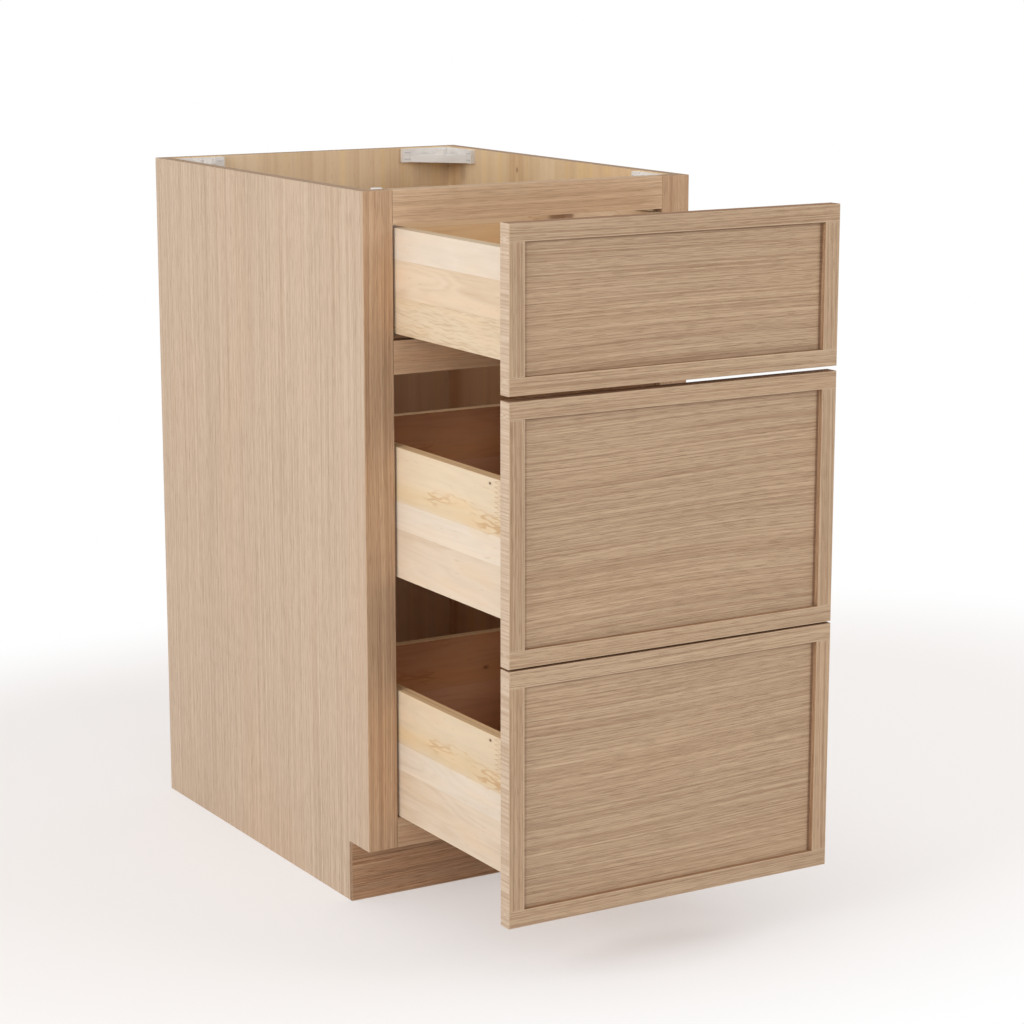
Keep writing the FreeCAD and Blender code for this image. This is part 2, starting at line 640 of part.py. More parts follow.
for item in doc.Objects:
    if {"Invalid", "Error"} & set(item.State):
        raise RuntimeError(f"{item.Label} failed: {item.State}")
    if item.TypeId == "PartDesign::Pocket":
        removed = item.BaseFeature.Shape.Volume - item.Shape.Volume
        if removed < 1:
            raise RuntimeError(f"{item.Label} of {item.getParentGeoFeatureGroup().Label} cut nothing")
for item in sub_parts:
    if item.Shape.isNull() or not item.Shape.isValid():
        raise RuntimeError(f"{item.Label} has no valid shape")

os.makedirs("parts", exist_ok=True)
for item in sub_parts:
    item.Shape.exportStep(f"parts/{item.Label}.step")
    print(item.Label, len(item.Shape.Solids), round(item.Shape.Volume / 1000, 1), "cm3")
print(len(sub_parts), "sub-parts")
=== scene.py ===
# %% [markdown]
# # Dressing a base cabinet with three drawers
# The cabinet's solids are already made in CAD and come in as a fixed frame. This lesson gives
# every board, runner and brace the finish it has on the real cabinet, adds the small fasteners,
# and sets up a plain photo studio. The solids could be modelled again here, but then two models
# would have to be kept in step, so the frame stays as it is and only its looks are made here.

import math
from types import SimpleNamespace

import bpy
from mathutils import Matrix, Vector


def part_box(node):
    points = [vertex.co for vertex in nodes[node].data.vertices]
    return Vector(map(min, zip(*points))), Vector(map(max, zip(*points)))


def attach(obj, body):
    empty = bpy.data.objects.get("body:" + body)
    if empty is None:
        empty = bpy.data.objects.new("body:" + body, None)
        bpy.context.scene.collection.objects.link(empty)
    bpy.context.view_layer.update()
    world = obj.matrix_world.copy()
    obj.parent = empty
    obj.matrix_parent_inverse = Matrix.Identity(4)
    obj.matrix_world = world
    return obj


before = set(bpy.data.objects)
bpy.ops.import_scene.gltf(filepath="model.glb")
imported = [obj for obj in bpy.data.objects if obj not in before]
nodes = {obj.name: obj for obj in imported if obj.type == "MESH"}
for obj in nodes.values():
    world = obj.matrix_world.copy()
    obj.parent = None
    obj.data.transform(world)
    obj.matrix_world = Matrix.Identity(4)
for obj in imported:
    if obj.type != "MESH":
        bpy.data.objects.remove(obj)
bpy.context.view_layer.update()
MM = 0.001

# %% [markdown]
# ## The camera
# The photograph looks down a little on the cabinet from its front left. The place, the two turns
# and the lens below come from a fit to the corners of the side, the face frame and the three
# fronts. The photograph keeps upright edges upright, which needs a very large lens shift. A large
# shift would push the cabinet out of every other view, so this camera tilts down and has none.

# %% Set the camera
CAMERA_PLACE = (-1.733, -3.450, 1.164)
CAMERA_TILT = 11.66
CAMERA_TURN = -30.82
LENS = 97.9

scene = bpy.context.scene
camera = bpy.data.objects.new("camera", bpy.data.cameras.new("camera"))
camera.data.lens = LENS
camera.location = CAMERA_PLACE
camera.rotation_euler = (math.radians(90 - CAMERA_TILT), 0, math.radians(CAMERA_TURN))
scene.collection.objects.link(camera)
scene.camera = camera
scene.view_settings.view_transform = "Standard"
print("camera", CAMERA_PLACE, "lens", LENS, "mm")

# %% [markdown]
# ## Writing shader maths as sums
# A material is a net of nodes, and placing each node by hand hides the sum it makes. The small
# class here wraps one socket, so that `1 - mask * 0.5` adds the Math nodes by itself. Any other
# node comes from its `node` method: settings are made first, then socket values or links.

# %% A socket that sums can be written on
class Wire:
    """One output socket of a node tree, or just the tree when it has no socket yet."""

    def __init__(self, tree, socket=None):
        self.tree = tree
        self.socket = socket

    def node(self, kind, settings=None, inputs=None, output=0):
        """Add a node and return the chosen output of it."""
        made = self.tree.nodes.new("ShaderNode" + kind)
        for name, setting in (settings or {}).items():
            if name == "stops":
                while len(made.color_ramp.elements) < len(setting):
                    made.color_ramp.elements.new(0.5)
                for element, (place, colour) in zip(made.color_ramp.elements, setting):
                    element.position = place
                    element.color = colour
            else:
                setattr(made, name, setting)
        for name, given in (inputs or {}).items():
            if isinstance(given, Wire):
                self.tree.links.new(given.socket, made.inputs[name])
            else:
                made.inputs[name].default_value = given
        return Wire(self.tree, made.outputs[output] if made.outputs else None)

    def maths(self, operation, *values):
        return self.node("Math", {"operation": operation}, dict(enumerate(values)))

    def __add__(self, other):
        return self.maths("ADD", self, other)

    def __sub__(self, other):
        return self.maths("SUBTRACT", self, other)

    def __rsub__(self, other):
        return self.maths("SUBTRACT", other, self)

    def __mul__(self, other):
        return self.maths("MULTIPLY", self, other)

    def __truediv__(self, other):
        return self.maths("DIVIDE", self, other)

    def __abs__(self):
        return self.maths("ABSOLUTE", self)

    def __lt__(self, other):
        return self.maths("LESS_THAN", self, other)

    def __gt__(self, other):
        return self.maths("GREATER_THAN", self, other)

    __radd__ = __add__
    __rmul__ = __mul__

    def floor(self):
        return self.maths("FLOOR", self)

    def fade(self, start, end):
        """A soft step: 0 at start and 1 at end, whichever of the two is larger."""
        ends = {"Value": self, "From Min": start, "From Max": end}
        return self.node("MapRange", {"interpolation_type": "SMOOTHSTEP"}, ends)

    def split(self):
        """The three numbers of a vector."""
        parts = self.tree.nodes.new("ShaderNodeSeparateXYZ")
        self.tree.links.new(self.socket, parts.inputs[0])
        return [Wire(self.tree, output) for output in parts.outputs]

    def times(self, tint):
        """This colour multiplied by another colour."""
        settings = {"data_type": "RGBA", "blend_type": "MULTIPLY"}
        return self.node("Mix", settings, {0: 1.0, 6: self, 7: tint}, output=2)

    def blend(self, first, second, mode="MIX"):
        """Colour `first` where this wire is 0 and `second` where it is 1."""
        settings = {"data_type": "RGBA", "blend_type": mode}
        return self.node("Mix", settings, {0: self, 6: first, 7: second}, output=2)


def vector(x, y, z):
    """Three numbers or wires as one vector; at least one is a wire."""
    start = next(part for part in (x, y, z) if isinstance(part, Wire))
    return start.node("CombineXYZ", inputs={0: x, 1: y, 2: z})


def paint(red, green, blue):
    """A colour as a screen shows it, from 0 to 255, turned into the linear one shaders use."""
    def linear(channel):
        level = channel / 255
        return level / 12.92 if level <= 0.04045 else ((level + 0.055) / 1.055) ** 2.4
    return (linear(red), linear(green), linear(blue), 1)


print("a screen grey of 128 is", round(paint(128, 128, 128)[0], 3), "in linear light")

# %% [markdown]
# ## The studio
# The cabinet stands on a pale floor in soft light from all round, with a large strong lamp at
# the left, a smaller one at the right and a wide weak one in front. The lamps and the sky are
# kept at a level at which a colour renders about as it is written. The white behind the cabinet
# isn't more light: the sky shows the camera and mirrors a plain white, and past an oval pool
# the floor fades to the same white. The floor's own glow grows towards the right, as painted
# light that lifts the cabinet's shadow there. Under the place where the fronts stand open, a
# smaller oval of the floor glows less, as a painted shadow that deepens their shadow. That oval
# belongs to the floor and stays there when a drawer is closed.

# %% Sky, floor and lamps
SKY_LIGHT = 0.70
FLOOR_TONE = paint(247, 244, 243)
FLOOR_GLOW = paint(254, 250, 248)
FLOOR_SIZE = 24
GLOW_SHARE = 0.43
PAINTED_LIGHT_AT_RIGHT = 0.26
PAINTED_SHADOW_UNDER_FRONTS = 0.14
POOL_MIDDLE = (0.15, -0.17, 0)
POOL_REACH = (1.25, 0.85, 1)
UNDER_FRONTS = (0.0, -0.88, 0)
UNDER_REACH = (0.17, 0.08, 1)
PLAIN_WHITE = (1, 1, 1, 1)


def seen_directly(start):
    """1 for camera, mirror and glass rays, 0 for rays that carry light."""
    rays = [start.node("LightPath", output=name)
            for name in ("Is Camera Ray", "Is Glossy Ray", "Is Transmission Ray")]
    return rays[0] + rays[1] + rays[2]


def build_sky():
    world = bpy.data.worlds.new("studio_sky")
    world.use_nodes = True
    world.node_tree.nodes.clear()
    start = Wire(world.node_tree)
    lighting = start.node("Background", inputs={"Color": PLAIN_WHITE, "Strength": SKY_LIGHT})
    backdrop = start.node("Background", inputs={"Color": PLAIN_WHITE, "Strength": 1.0})
    shown = start.node("MixShader", inputs={0: seen_directly(start), 1: lighting, 2: backdrop})
    start.node("OutputWorld", inputs={"Surface": shown})
    scene.world = world


def from_oval(place, middle, reach):
    """Distance from the middle of an oval on the floor: 1 all along its edge."""
    oval = place.node("Mapping", {"vector_type": "TEXTURE"},
                      {"Vector": place, "Location": middle, "Scale": reach})
    return oval.node("VectorMath", {"operation": "LENGTH"}, {0: oval}, output="Value")


def build_floor():
    bpy.ops.mesh.primitive_plane_add(size=FLOOR_SIZE, location=(0, 0, 0))
    floor = bpy.context.object
    floor.name = "studio_floor"
    material = bpy.data.materials.new("studio_floor")
    material.use_nodes = True
    material.node_tree.nodes.clear()
    start = Wire(material.node_tree)
    place = start.node("TexCoord", output="Object")
    matt = start.node("BsdfDiffuse", inputs={"Color": FLOOR_TONE})
    far = from_oval(place, POOL_MIDDLE, POOL_REACH).fade(0.74, 1.28)
    glow_colour = far.blend(FLOOR_GLOW, PLAIN_WHITE)
    glow = start.node("Emission", inputs={"Color": glow_colour, "Strength": 1.0})
    # Painted light: the floor's glow grows towards the right to lift the cabinet's shadow there.
    to_right = place.split()[0].fade(0.15, 0.65)
    # Painted shadow: the oval under the open fronts glows less.
    under = from_oval(place, UNDER_FRONTS, UNDER_REACH).fade(1.0, 0.3)
    base = GLOW_SHARE + to_right * PAINTED_LIGHT_AT_RIGHT - under * PAINTED_SHADOW_UNDER_FRONTS
    share = (base + far * (1 - base)) * seen_directly(start)
    surface = start.node("MixShader", inputs={0: share, 1: matt, 2: glow})
    start.node("OutputMaterial", inputs={"Surface": surface})
    floor.data.materials.append(material)


def add_lamp(name, place, aim, side, power):
    """A square soft lamp that points from its place at its aim."""
    lamp = bpy.data.lights.new(name, "AREA")
    lamp.size = side
    lamp.energy = power
    holder = bpy.data.objects.new(name, lamp)
    holder.location = place
    direction = Vector(aim) - Vector(place)
    holder.rotation_euler = direction.to_track_quat("-Z", "Y").to_euler()
    scene.collection.objects.link(holder)


bpy.ops.object.select_all(action="DESELECT")
build_sky()
build_floor()
add_lamp("left_lamp", (-3.8, -1.2, 1.8), (0, -0.5, 0.60), side=2.2, power=63)
add_lamp("right_lamp", (2.3, -3.9, 2.0), (0, -0.6, 0.45), side=1.2, power=30)
add_lamp("front_lamp", (-1.2, -4.6, 1.0), (0, -0.6, 0.45), side=2.4, power=26)
print("studio ready, sky at", SKY_LIGHT)

# %% [markdown]
# ## Where a point lies on its board
# Wood grain belongs to a board, not to the room: it runs along the board and stops at its ends.
# Each board's material therefore starts by reading Object coordinates, moving them to the
# board's own middle and naming them along, across and through. The same is done with the
# normal, so that end grain can be told from long grain.

# %% Read a board
def read_board(start, node, axes):
    """Wires for one board; axes such as "zyx" names along, across and through, in that order."""
    low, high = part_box(node)
    middle = (low + high) / 2
    half = (high - low) / 2
    room = start.node("TexCoord", output="Object")
    centred = start.node("Mapping", inputs={"Vector": room, "Location": -middle}).split()
    facing = start.node("TexCoord", output="Normal").split()
    order = ["xyz".index(letter) for letter in axes]
    along, across, through = (centred[index] for index in order)
    return SimpleNamespace(
        along=along, across=across, through=through, room=room,
        place=vector(along, across, through), half=[half[index] for index in order],
        facing=[facing[index] for index in order], facing_side=facing[0], facing_up=facing[2])


def lumps(place, scale, seed, detail=2.0):
    """Noise with its own number of lumps per metre along, across and through."""
    shift = (seed, 1.7 * seed, 2.3 * seed)
    drawn_out = place.node("Mapping", inputs={"Vector": place, "Location": shift, "Scale": scale})
    return place.node("TexNoise", inputs={"Vector": drawn_out, "Scale": 1.0, "Detail": detail})


def new_material(name):
    """An empty material and the wire that its nodes start from."""
    material = bpy.data.materials.new(name)
    material.use_nodes = True
    material.node_tree.nodes.clear()
    return material, Wire(material.node_tree)


def close_material(start, colour, roughness, height, depth, **fixed):
    """Join colour, roughness and a bump of the given depth in metres to a shader."""
    bump = start.node("Bump", inputs={"Strength": 0.6, "Distance": depth, "Height": height})
    sockets = {"Base Color": colour, "Roughness": roughness, "Normal": bump}
    sockets.update({name.replace("_", " "): number for name, number in fixed.items()})
    shader = start.node("BsdfPrincipled", inputs=sockets)
    start.node("OutputMaterial", inputs={"Surface": shader})


def dress(node, material):
    """Give a CAD node its finish."""
    for slot in nodes[node].material_slots:
        slot.material = material
    print("  dressed", node, "in", material.name)


# %% [markdown]
# ## Oak
# The outside is oak cut so that its yearly rings meet the face at a slant, which gives straight
# close lines. Patterns of several sizes make it: rings a few millimetres apart that wander
# slowly, streaks and darker lines closer together, fibres under a millimetre, and open pores
# that show as short dark dashes. A picture of oak would be quicker, but it would repeat from
# board to board. Noise that is drawn out along the grain gives each board its own figure from
# its own seed. The number beside each pattern says how much it counts.

# %% Oak figure
OAK_PALE = paint(211, 184, 154)
OAK_MIDDLE = paint(188, 160, 131)
OAK_DARK = paint(156, 124, 96)
OAK_PORE = paint(128, 92, 64)
OAK_WARM = paint(255, 243, 230)
OAK_TAN = paint(255, 226, 206)
OAK_TONES = (OAK_DARK, OAK_MIDDLE, OAK_PALE)
VENEER_TONES = (paint(168, 141, 116), paint(196, 173, 150), paint(215, 195, 173))
OAK_END = paint(150, 116, 86)
WOOD_GLOSS = 0.25
EDGE_PAINTED_SHADE = paint(228, 206, 190)
# Painted shade for the corners of a sunk panel, and painted warm shade for the stiles' inner
# faces.
CORNER_PAINTED_SHADE = paint(112, 78, 54)
RETURN_PAINTED_WARM_SHADE = paint(250, 234, 222)
SIDE_EDGE_PALE = paint(205, 183, 160)
SIDE_EDGE_DARK = paint(182, 156, 130)
SIDE_FIGURE = {"ring_turn": 8, "wander_by": 0.012, "contrast": 0.85, "tones": VENEER_TONES}
SIDE_SEEDS = {"left": 41.3, "right": 47.9}


def oak_figure(board, seed, ring_turn, wander_by, contrast=1.0, tones=OAK_TONES):
    """Colour, roughness and height of oak; ring_turn is the rings' slant in degrees."""
    slant = math.radians(ring_turn)
    wander = (lumps(board.place, (1.2, 4, 4), seed, 1) - 0.5) * wander_by
    ring = board.across * math.cos(slant) + board.through * math.sin(slant) + wander
    grain = vector(board.along, ring, board.across * -math.sin(slant)
                   + board.through * math.cos(slant))
    rings = lumps(grain, (0.5, 260, 20), seed + 11, 1).fade(0.34, 0.66)
    streaks = lumps(grain, (1.6, 600, 60), seed + 23, 1)
    lines = lumps(grain, (2.4, 640, 90), seed + 37, 1).fade(0.55, 0.66)
    fibres = lumps(grain, (5, 1500, 600), seed + 31, 1)
    pores = lumps(grain, (45, 1900, 900), seed + 43, 0).fade(0.60, 0.72)
    cloud = lumps(board.place, (2.2, 9, 9), seed + 57, 2)
    tone = (rings - 0.5) * 0.13 + (streaks - 0.5) * 0.56 + (fibres - 0.5) * 0.62
    tone = (tone + (cloud - 0.5) * 0.10) * contrast + 0.5
    stops = list(zip((0.15, 0.5, 0.85), tones))
    colour = tone.node("ValToRGB", {"stops": stops}, {0: tone})
    colour = (cloud.fade(0.3, 0.75) * 0.35).blend(colour, OAK_WARM, "MULTIPLY")
    colour = (lines * (0.46 * contrast)).blend(colour, tones[0])
    colour = (pores * (0.32 * contrast)).blend(colour, OAK_PORE)
    roughness = 0.56 + pores * 0.2 + (fibres - 0.5) * 0.16
    height = streaks * 0.5 + fibres * 0.5 - pores * 0.8 - lines * 0.4
    return colour, roughness, height


print("red of oak runs from", round(OAK_DARK[0], 3), "to", round(OAK_PALE[0], 3))

# %% [markdown]
# ## Oak boards
# A solid board shows more than its figure: dark end grain, a fine seam at each joint and edges
# worn pale. Where a sunk panel meets its frame, painted shade darkens the panel, and the inner
# faces of the stiles get a painted warm shade. These could be painted on board by board. Here
# each is worked out from how far a point lies from the edges of its board or of the next one, so
# that it lands in the right place on a board of any size.

# %% Ends, seams and edges
FRONT_EDGE = 0.2193  # the outer edge of a front lies further than this from the middle
FRONT_BACK = -0.85  # and nearer to the camera than this, unlike the face frame


def near_line(distance, width):
    """1 on a line and 0 past its width, from the distance to the line."""
    return abs(distance).fade(width, width * 0.35)


def oak_board(node, axes, seed, ring_turn=28, wander_by=0.022, butt=0.0, worn_by=0.5, tan=0.0,
              seam_by=0.45, shade=1.0, contrast=1.0):
    """Solid oak; butt is how far a hidden tongue reaches past the visible end."""
    material, start = new_material("oak_" + node)
    board = read_board(start, node, axes)
    colour, roughness, height = oak_figure(board, seed, ring_turn, wander_by, contrast)
    blush = lumps(board.place, (3, 100, 100), seed + 83, 2).fade(0.38, 0.62)
    colour = ((blush * 0.4 + 0.6) * tan).blend(colour, OAK_TAN, "MULTIPLY")
    speckle = lumps(board.place, (700, 700, 700), seed + 71, 2).fade(0.35, 0.65)
    end_colour = speckle.blend(OAK_END, OAK_MIDDLE)
    end_on = abs(board.facing[0]).fade(0.6, 0.8)
    colour = (end_on * 0.75).blend(colour, end_colour)
    half_along, half_across, half_through = board.half
    edge_gap = (half_across - abs(board.across)) + (half_through - abs(board.through))
    end_gap = (half_along - butt - abs(board.along)) + (half_through - abs(board.through))
    worn = (edge_gap.fade(0.0016, 0.0006) + end_gap.fade(0.0016, 0.0006)) * worn_by
    colour = worn.blend(colour, OAK_PALE)
    seam = near_line(half_along - butt - abs(board.along), 0.0007)
    colour = (seam * seam_by).blend(colour, OAK_PORE)
    colour = start.node("HueSaturation", inputs={"Value": shade, "Color": colour})
    level_edge = abs(board.facing_up).fade(0.7, 0.9)
    roughness = roughness + level_edge * 0.28
    if "drawer_front" in node:
        colour = frame_corners(board, colour, node)
        # Painted shade on the level edges of a front, which darkens the gaps between the fronts.
        colour = (level_edge * 0.9).blend(colour, EDGE_PAINTED_SHADE, "MULTIPLY")
    colour = banded_edge(board, colour, seed)
    for hand, sign in (("left", -1), ("right", 1)):
        if node == f"face_frame_{hand}_stile":
            side = read_board(start, f"{hand}_side_panel", "zyx")
            veneer = oak_figure(side, SIDE_SEEDS[hand], **SIDE_FIGURE)[0]
            colour = (board.facing_side * sign).fade(0.6, 0.8).blend(colour, veneer)
    close_material(start, colour, roughness, height, 0.0004, Specular_IOR_Level=WOOD_GLOSS)
    return material


def frame_corners(board, colour, node):
    """Painted shade where the sunk panel meets its frame, and painted warm shade on the stiles'
    inner edges.
    """
    level, piece = node.split("_drawer_front_")
    sideways, _, upright = board.room.split()
    if piece.endswith("stile"):
        # Painted warm shade on the side faces of a front stile.
        return (abs(board.facing_side).fade(0.6, 0.8) * 0.8).blend(colour, RETURN_PAINTED_WARM_SHADE, "MULTIPLY")
    if piece != "panel":
        return colour
    front = level + "_drawer_front_"
    to_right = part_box(front + "right_stile")[0][0] - sideways
    to_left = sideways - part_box(front + "left_stile")[1][0]
    to_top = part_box(front + "upper_rail")[0][2] - upright
    # Painted shade on the panel along the stiles and under the upper rail.
    painted_corner_shade = to_right.fade(0.0040, 0.0026) * 0.66
    painted_corner_shade = painted_corner_shade.maths("MAXIMUM", painted_corner_shade, to_left.fade(0.0075, 0.0058) * 0.30)
    painted_corner_shade = painted_corner_shade.maths("MAXIMUM", painted_corner_shade, to_top.fade(0.0042, 0.0018) * 0.40)
    return painted_corner_shade.blend(colour, CORNER_PAINTED_SHADE)


def banded_edge(board, colour, seed):
    """Pale edge banding on the outer upright edges of a drawer front."""
    sideways = board.room.split()[0]
    at_edge = (abs(sideways) > FRONT_EDGE) * abs(board.facing_side).fade(0.6, 0.8)
    at_edge = at_edge * (board.room.split()[1] < FRONT_BACK)
    lines = lumps(board.room, (60, 6, 420), seed + 91, 2).fade(0.30, 0.70)
    return at_edge.blend(colour, lines.blend(SIDE_EDGE_DARK, SIDE_EDGE_PALE))


print("banded edges lie past", FRONT_EDGE, "m from the middle")

# %% [markdown]
# ## Dress the oak boards
# The boards of a real cabinet come from different planks, so each has lines of its own, and some
# are lighter or darker than their neighbours. One material for all the oak would be less work,
# but then its lines would be drawn in the same way everywhere. So each board gets a material
# with its own seed, and a shade above or below 1 where it is lighter or darker. The rails of the
# face frame are lifted above 1 as painted light, since they lie in the shade of the fronts, and
# the middle rail's tan is partly a painted warm bounce from the drawer boxes.

# %% Dress the face frame, the kick and the fronts
RAIL_TENON = 15 * MM
FRONT_TONGUE = 8 * MM
FRONT_SHADES = {"top": 0.865, "middle": 0.865, "bottom": 0.885}
# Painted light: the rails are lifted out of the shade of the fronts; the middle rail's tan is
# partly painted warm bounce.
RAIL_PAINTED_LIGHT = {"top": 1.17, "middle": 1.24, "bottom": 1.06}
RAIL_TAN_AND_PAINTED_BOUNCE = {"top": 0.0, "middle": 0.44, "bottom": 0.32}

for hand, seed in (("left", 3.1), ("right", 5.7)):
    stile = f"face_frame_{hand}_stile"
    dress(stile, oak_board(stile, "zxy", seed, worn_by=0.10, tan=0.34, seam_by=0, contrast=0.9))
for name, seed in (("top", 7.3), ("middle", 9.9), ("bottom", 12.1)):
    rail = f"face_frame_{name}_rail"
    dress(rail, oak_board(rail, "xzy", seed, butt=RAIL_TENON, worn_by=0.15, tan=RAIL_TAN_AND_PAINTED_BOUNCE[name],
                          seam_by=0.15, shade=RAIL_PAINTED_LIGHT[name], contrast=0.65))
kick = oak_board("toe_kick_facing", "xzy", 14.5, wander_by=0.05, tan=0.6, shade=0.88,
                 contrast=1.4)
dress("toe_kick_facing", kick)
for place, drawer in enumerate(("top", "middle", "bottom")):
    front = f"{drawer}_drawer_front_"
    seed = 20.3 + 9.7 * place
    shade = FRONT_SHADES[drawer]
    for rail, step in (("upper", 0.0), ("lower", 1.9)):
        rail = front + rail + "_rail"
        dress(rail, oak_board(rail, "xzy", seed + step, shade=shade))
    for hand, step in (("left", 3.3), ("right", 4.1)):
        stile = front + hand + "_stile"
        dress(stile, oak_board(stile, "zxy", seed + step, butt=FRONT_TONGUE, shade=shade))
    panel = oak_board(front + "panel", "xzy", seed + 6.1, ring_turn=18, wander_by=0.040,
                      shade=shade)
    dress(front + "panel", panel)

# %% [markdown]
# ## Plywood
# The side panels are plywood: oak veneer outside, pale maple veneer inside, and thin crossed
# layers that show at the raw edges. Maple veneer is peeled off a turning log, so its figure is
# broad and wavy, like the contour lines of a map. That is how it is made here: contours of one
# slow noise, with fine streaks, short flecks and a few small knots on top.

# %% Maple veneer and raw plywood edges
MAPLE_PALE = paint(232, 206, 170)
MAPLE_MIDDLE = paint(220, 190, 151)
MAPLE_DARK = paint(196, 156, 112)
MAPLE_RED = paint(255, 230, 206)
MAPLE_GOLD = paint(255, 250, 222)
KNOT = paint(104, 64, 40)
RAW_EDGE = paint(152, 120, 90)
# Painted shade for the lower inside of the cabinet.
LOW_PAINTED_SHADE = paint(252, 238, 238)
PLY_LIGHT = paint(214, 190, 156)
PLY_DARK = paint(160, 128, 94)
GLUE = paint(112, 84, 60)
LAYER = 1.8 * MM


def knot_spots(place, pace, seed, share):
    """Small round marks, a few to the metre, in the given share of the places for them."""
    flat = place.node("Mapping", inputs={"Vector": place, "Scale": (pace * 0.6, pace, 0),
                                         "Location": (seed, 1.3 * seed, seed)})
    cells = {"Vector": flat, "Scale": 1.0}
    distance = place.node("TexVoronoi", inputs=cells)
    chance = place.node("TexVoronoi", inputs=cells, output="Color").split()[0]
    wobble = (lumps(place, (90, 90, 90), seed, 1) - 0.5) * 0.02
    return (distance + wobble).fade(0.045, 0.012) * (chance < share)


def knot_at(board, along, across, radius, core=1.0):
    """One knot: a dark core in a soft brown halo, at a place on the board in millimetres."""
    off_along = (board.along - along * MM) * 0.6
    off_across = board.across - across * MM
    squared = off_along * off_along + off_across * off_across
    distance = squared.maths("SQRT", squared)
    return (distance.fade(radius * 2.2 * MM, 0) * 0.25
            + distance.fade(radius * 1.1 * MM, radius * 0.5 * MM) * core)


def maple_figure(board, seed, knots=0.12, placed=(), indoors=1):
    """Colour, roughness and height of rotary-cut maple; placed lists knots by place and size."""
    slow = lumps(board.place, (0.8, 6, 6), seed, 2)
    contour = slow.maths("PINGPONG", slow * 14, 0.5) * 2
    streaks = lumps(board.place, (2.5, 260, 260), seed + 5, 2)
    flecks = lumps(board.place, (60, 620, 620), seed + 9, 0).fade(0.70, 0.78)
    cloud = lumps(board.place, (1.4, 10, 10), seed + 13, 2)
    red = lumps(board.place, (2, 11, 11), seed + 15, 1).fade(0.40, 0.75)
    sheets = lumps(board.place, (0.5, 16, 16), seed + 19, 1)
    bands = lumps(board.place, (1.1, 60, 60), seed + 27, 2)
    tone = (0.5 + (contour - 0.5) * 0.07 + (streaks - 0.5) * 0.24 + (cloud - 0.5) * 0.55
            + (sheets - 0.5) * 0.75 + (bands - 0.5) * 0.50)
    stops = [(0.12, MAPLE_DARK), (0.45, MAPLE_MIDDLE), (0.78, MAPLE_PALE)]
    colour = tone.node("ValToRGB", {"stops": stops}, {0: tone})
    colour = (red * 0.10).blend(colour, MAPLE_RED, "MULTIPLY")
    colour = (bands.fade(0.52, 0.66) * 0.6).blend(colour, MAPLE_GOLD, "MULTIPLY")
    colour = (flecks * 0.10).blend(colour, KNOT)
    # Painted shade: inner faces grow darker and warmer towards the bottom of the cabinet.
    upright = board.room.split()[2]
    painted_shade_below = upright.fade(0.72, 0.60) * indoors
    colour = painted_shade_below.blend(colour, LOW_PAINTED_SHADE, "MULTIPLY")
    spots = knot_spots(board.place, 5.0, seed + 17, knots)
    for knot in placed:
        spots = spots.maths("MAXIMUM", spots, knot_at(board, *knot))
    colour = (spots * 0.75).blend(colour, KNOT)
    roughness = 0.44 + (streaks - 0.5) * 0.2 + spots * 0.1
    height = streaks * 0.6 - flecks * 0.6 - spots * 0.5
    return colour, roughness, height


print("plywood layers are", round(LAYER / MM, 1), "mm thick")

# %% [markdown]
# ## Plywood panels
# A plywood panel shows veneer on its broad sides and its layers on every raw edge. Each face of
# the mesh could be given a material of its own. One material for the whole panel is simpler: it
# looks at which way the surface faces, and shows oak, maple or the raw layers there.

# %% Raw edges, and whole panels
def ply_layers(board, seed):
    """Colour of a raw edge: crossed layers with glue lines between them."""
    depth = (board.through + board.half[2]) / LAYER
    which = depth.maths("FLOORED_MODULO", depth, 2) > 1
    fine = lumps(board.place, (300, 300, 900), seed, 2).fade(0.3, 0.7)
    light = fine.blend(PLY_DARK, PLY_LIGHT)
    dark = (fine * 0.5).blend(PLY_DARK, PLY_LIGHT)
    glue = near_line(depth - (depth + 0.5).floor(), 0.10)
    return (glue * 0.6).blend(which.blend(light, dark), GLUE)


def side_ply(node, outward, seed, placed=()):
    """A side panel: oak outside and along the top edge, maple inside, layers elsewhere."""
    material, start = new_material("ply_" + node)
    board = read_board(start, node, "zyx")
    oak, oak_roughness, oak_height = oak_figure(board, seed, **SIDE_FIGURE)
    maple, maple_roughness, maple_height = maple_figure(board, seed + 3, placed=placed)
    outside = (board.facing[2] * outward).fade(0.5, 0.6)
    on_edge = abs(board.facing[2]).fade(0.6, 0.5)
    banded = board.facing[0].fade(0.5, 0.6)
    colour = outside.blend(maple, oak)
    colour = on_edge.blend(colour, ply_layers(board, seed))
    colour = banded.blend(colour, (board.facing[0] * 0.30).blend(RAW_EDGE, oak))
    roughness = outside * oak_roughness + (1 - outside) * maple_roughness + on_edge * 0.3
    height = outside * oak_height + (1 - outside) * maple_height
    close_material(start, colour, roughness, height, 0.0003, Specular_IOR_Level=WOOD_GLOSS)
    return material


def maple_ply(node, axes, seed, knots=0.12, tone=1.0, richness=1.0):
    """Plywood with maple on both faces and raw edges."""
    material, start = new_material("ply_" + node)
    board = read_board(start, node, axes)
    colour, roughness, height = maple_figure(board, seed, knots=knots,
                                             indoors=1 - (board.facing[2] > 0.5))
    on_edge = abs(board.facing[2]).fade(0.6, 0.5)
    colour = on_edge.blend(colour, ply_layers(board, seed))
    colour = (board.facing[0].fade(0.6, 0.8) * 0.7).blend(colour, RAW_EDGE)
    colour = start.node("HueSaturation",
                        inputs={"Saturation": richness, "Value": tone, "Color": colour})
    close_material(start, colour, roughness + on_edge * 0.3, height, 0.0003,
                   Specular_IOR_Level=WOOD_GLOSS)
    return material


side_low, side_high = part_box("left_side_panel")
print("layers in a side panel:", round((side_high - side_low)[0] / LAYER))

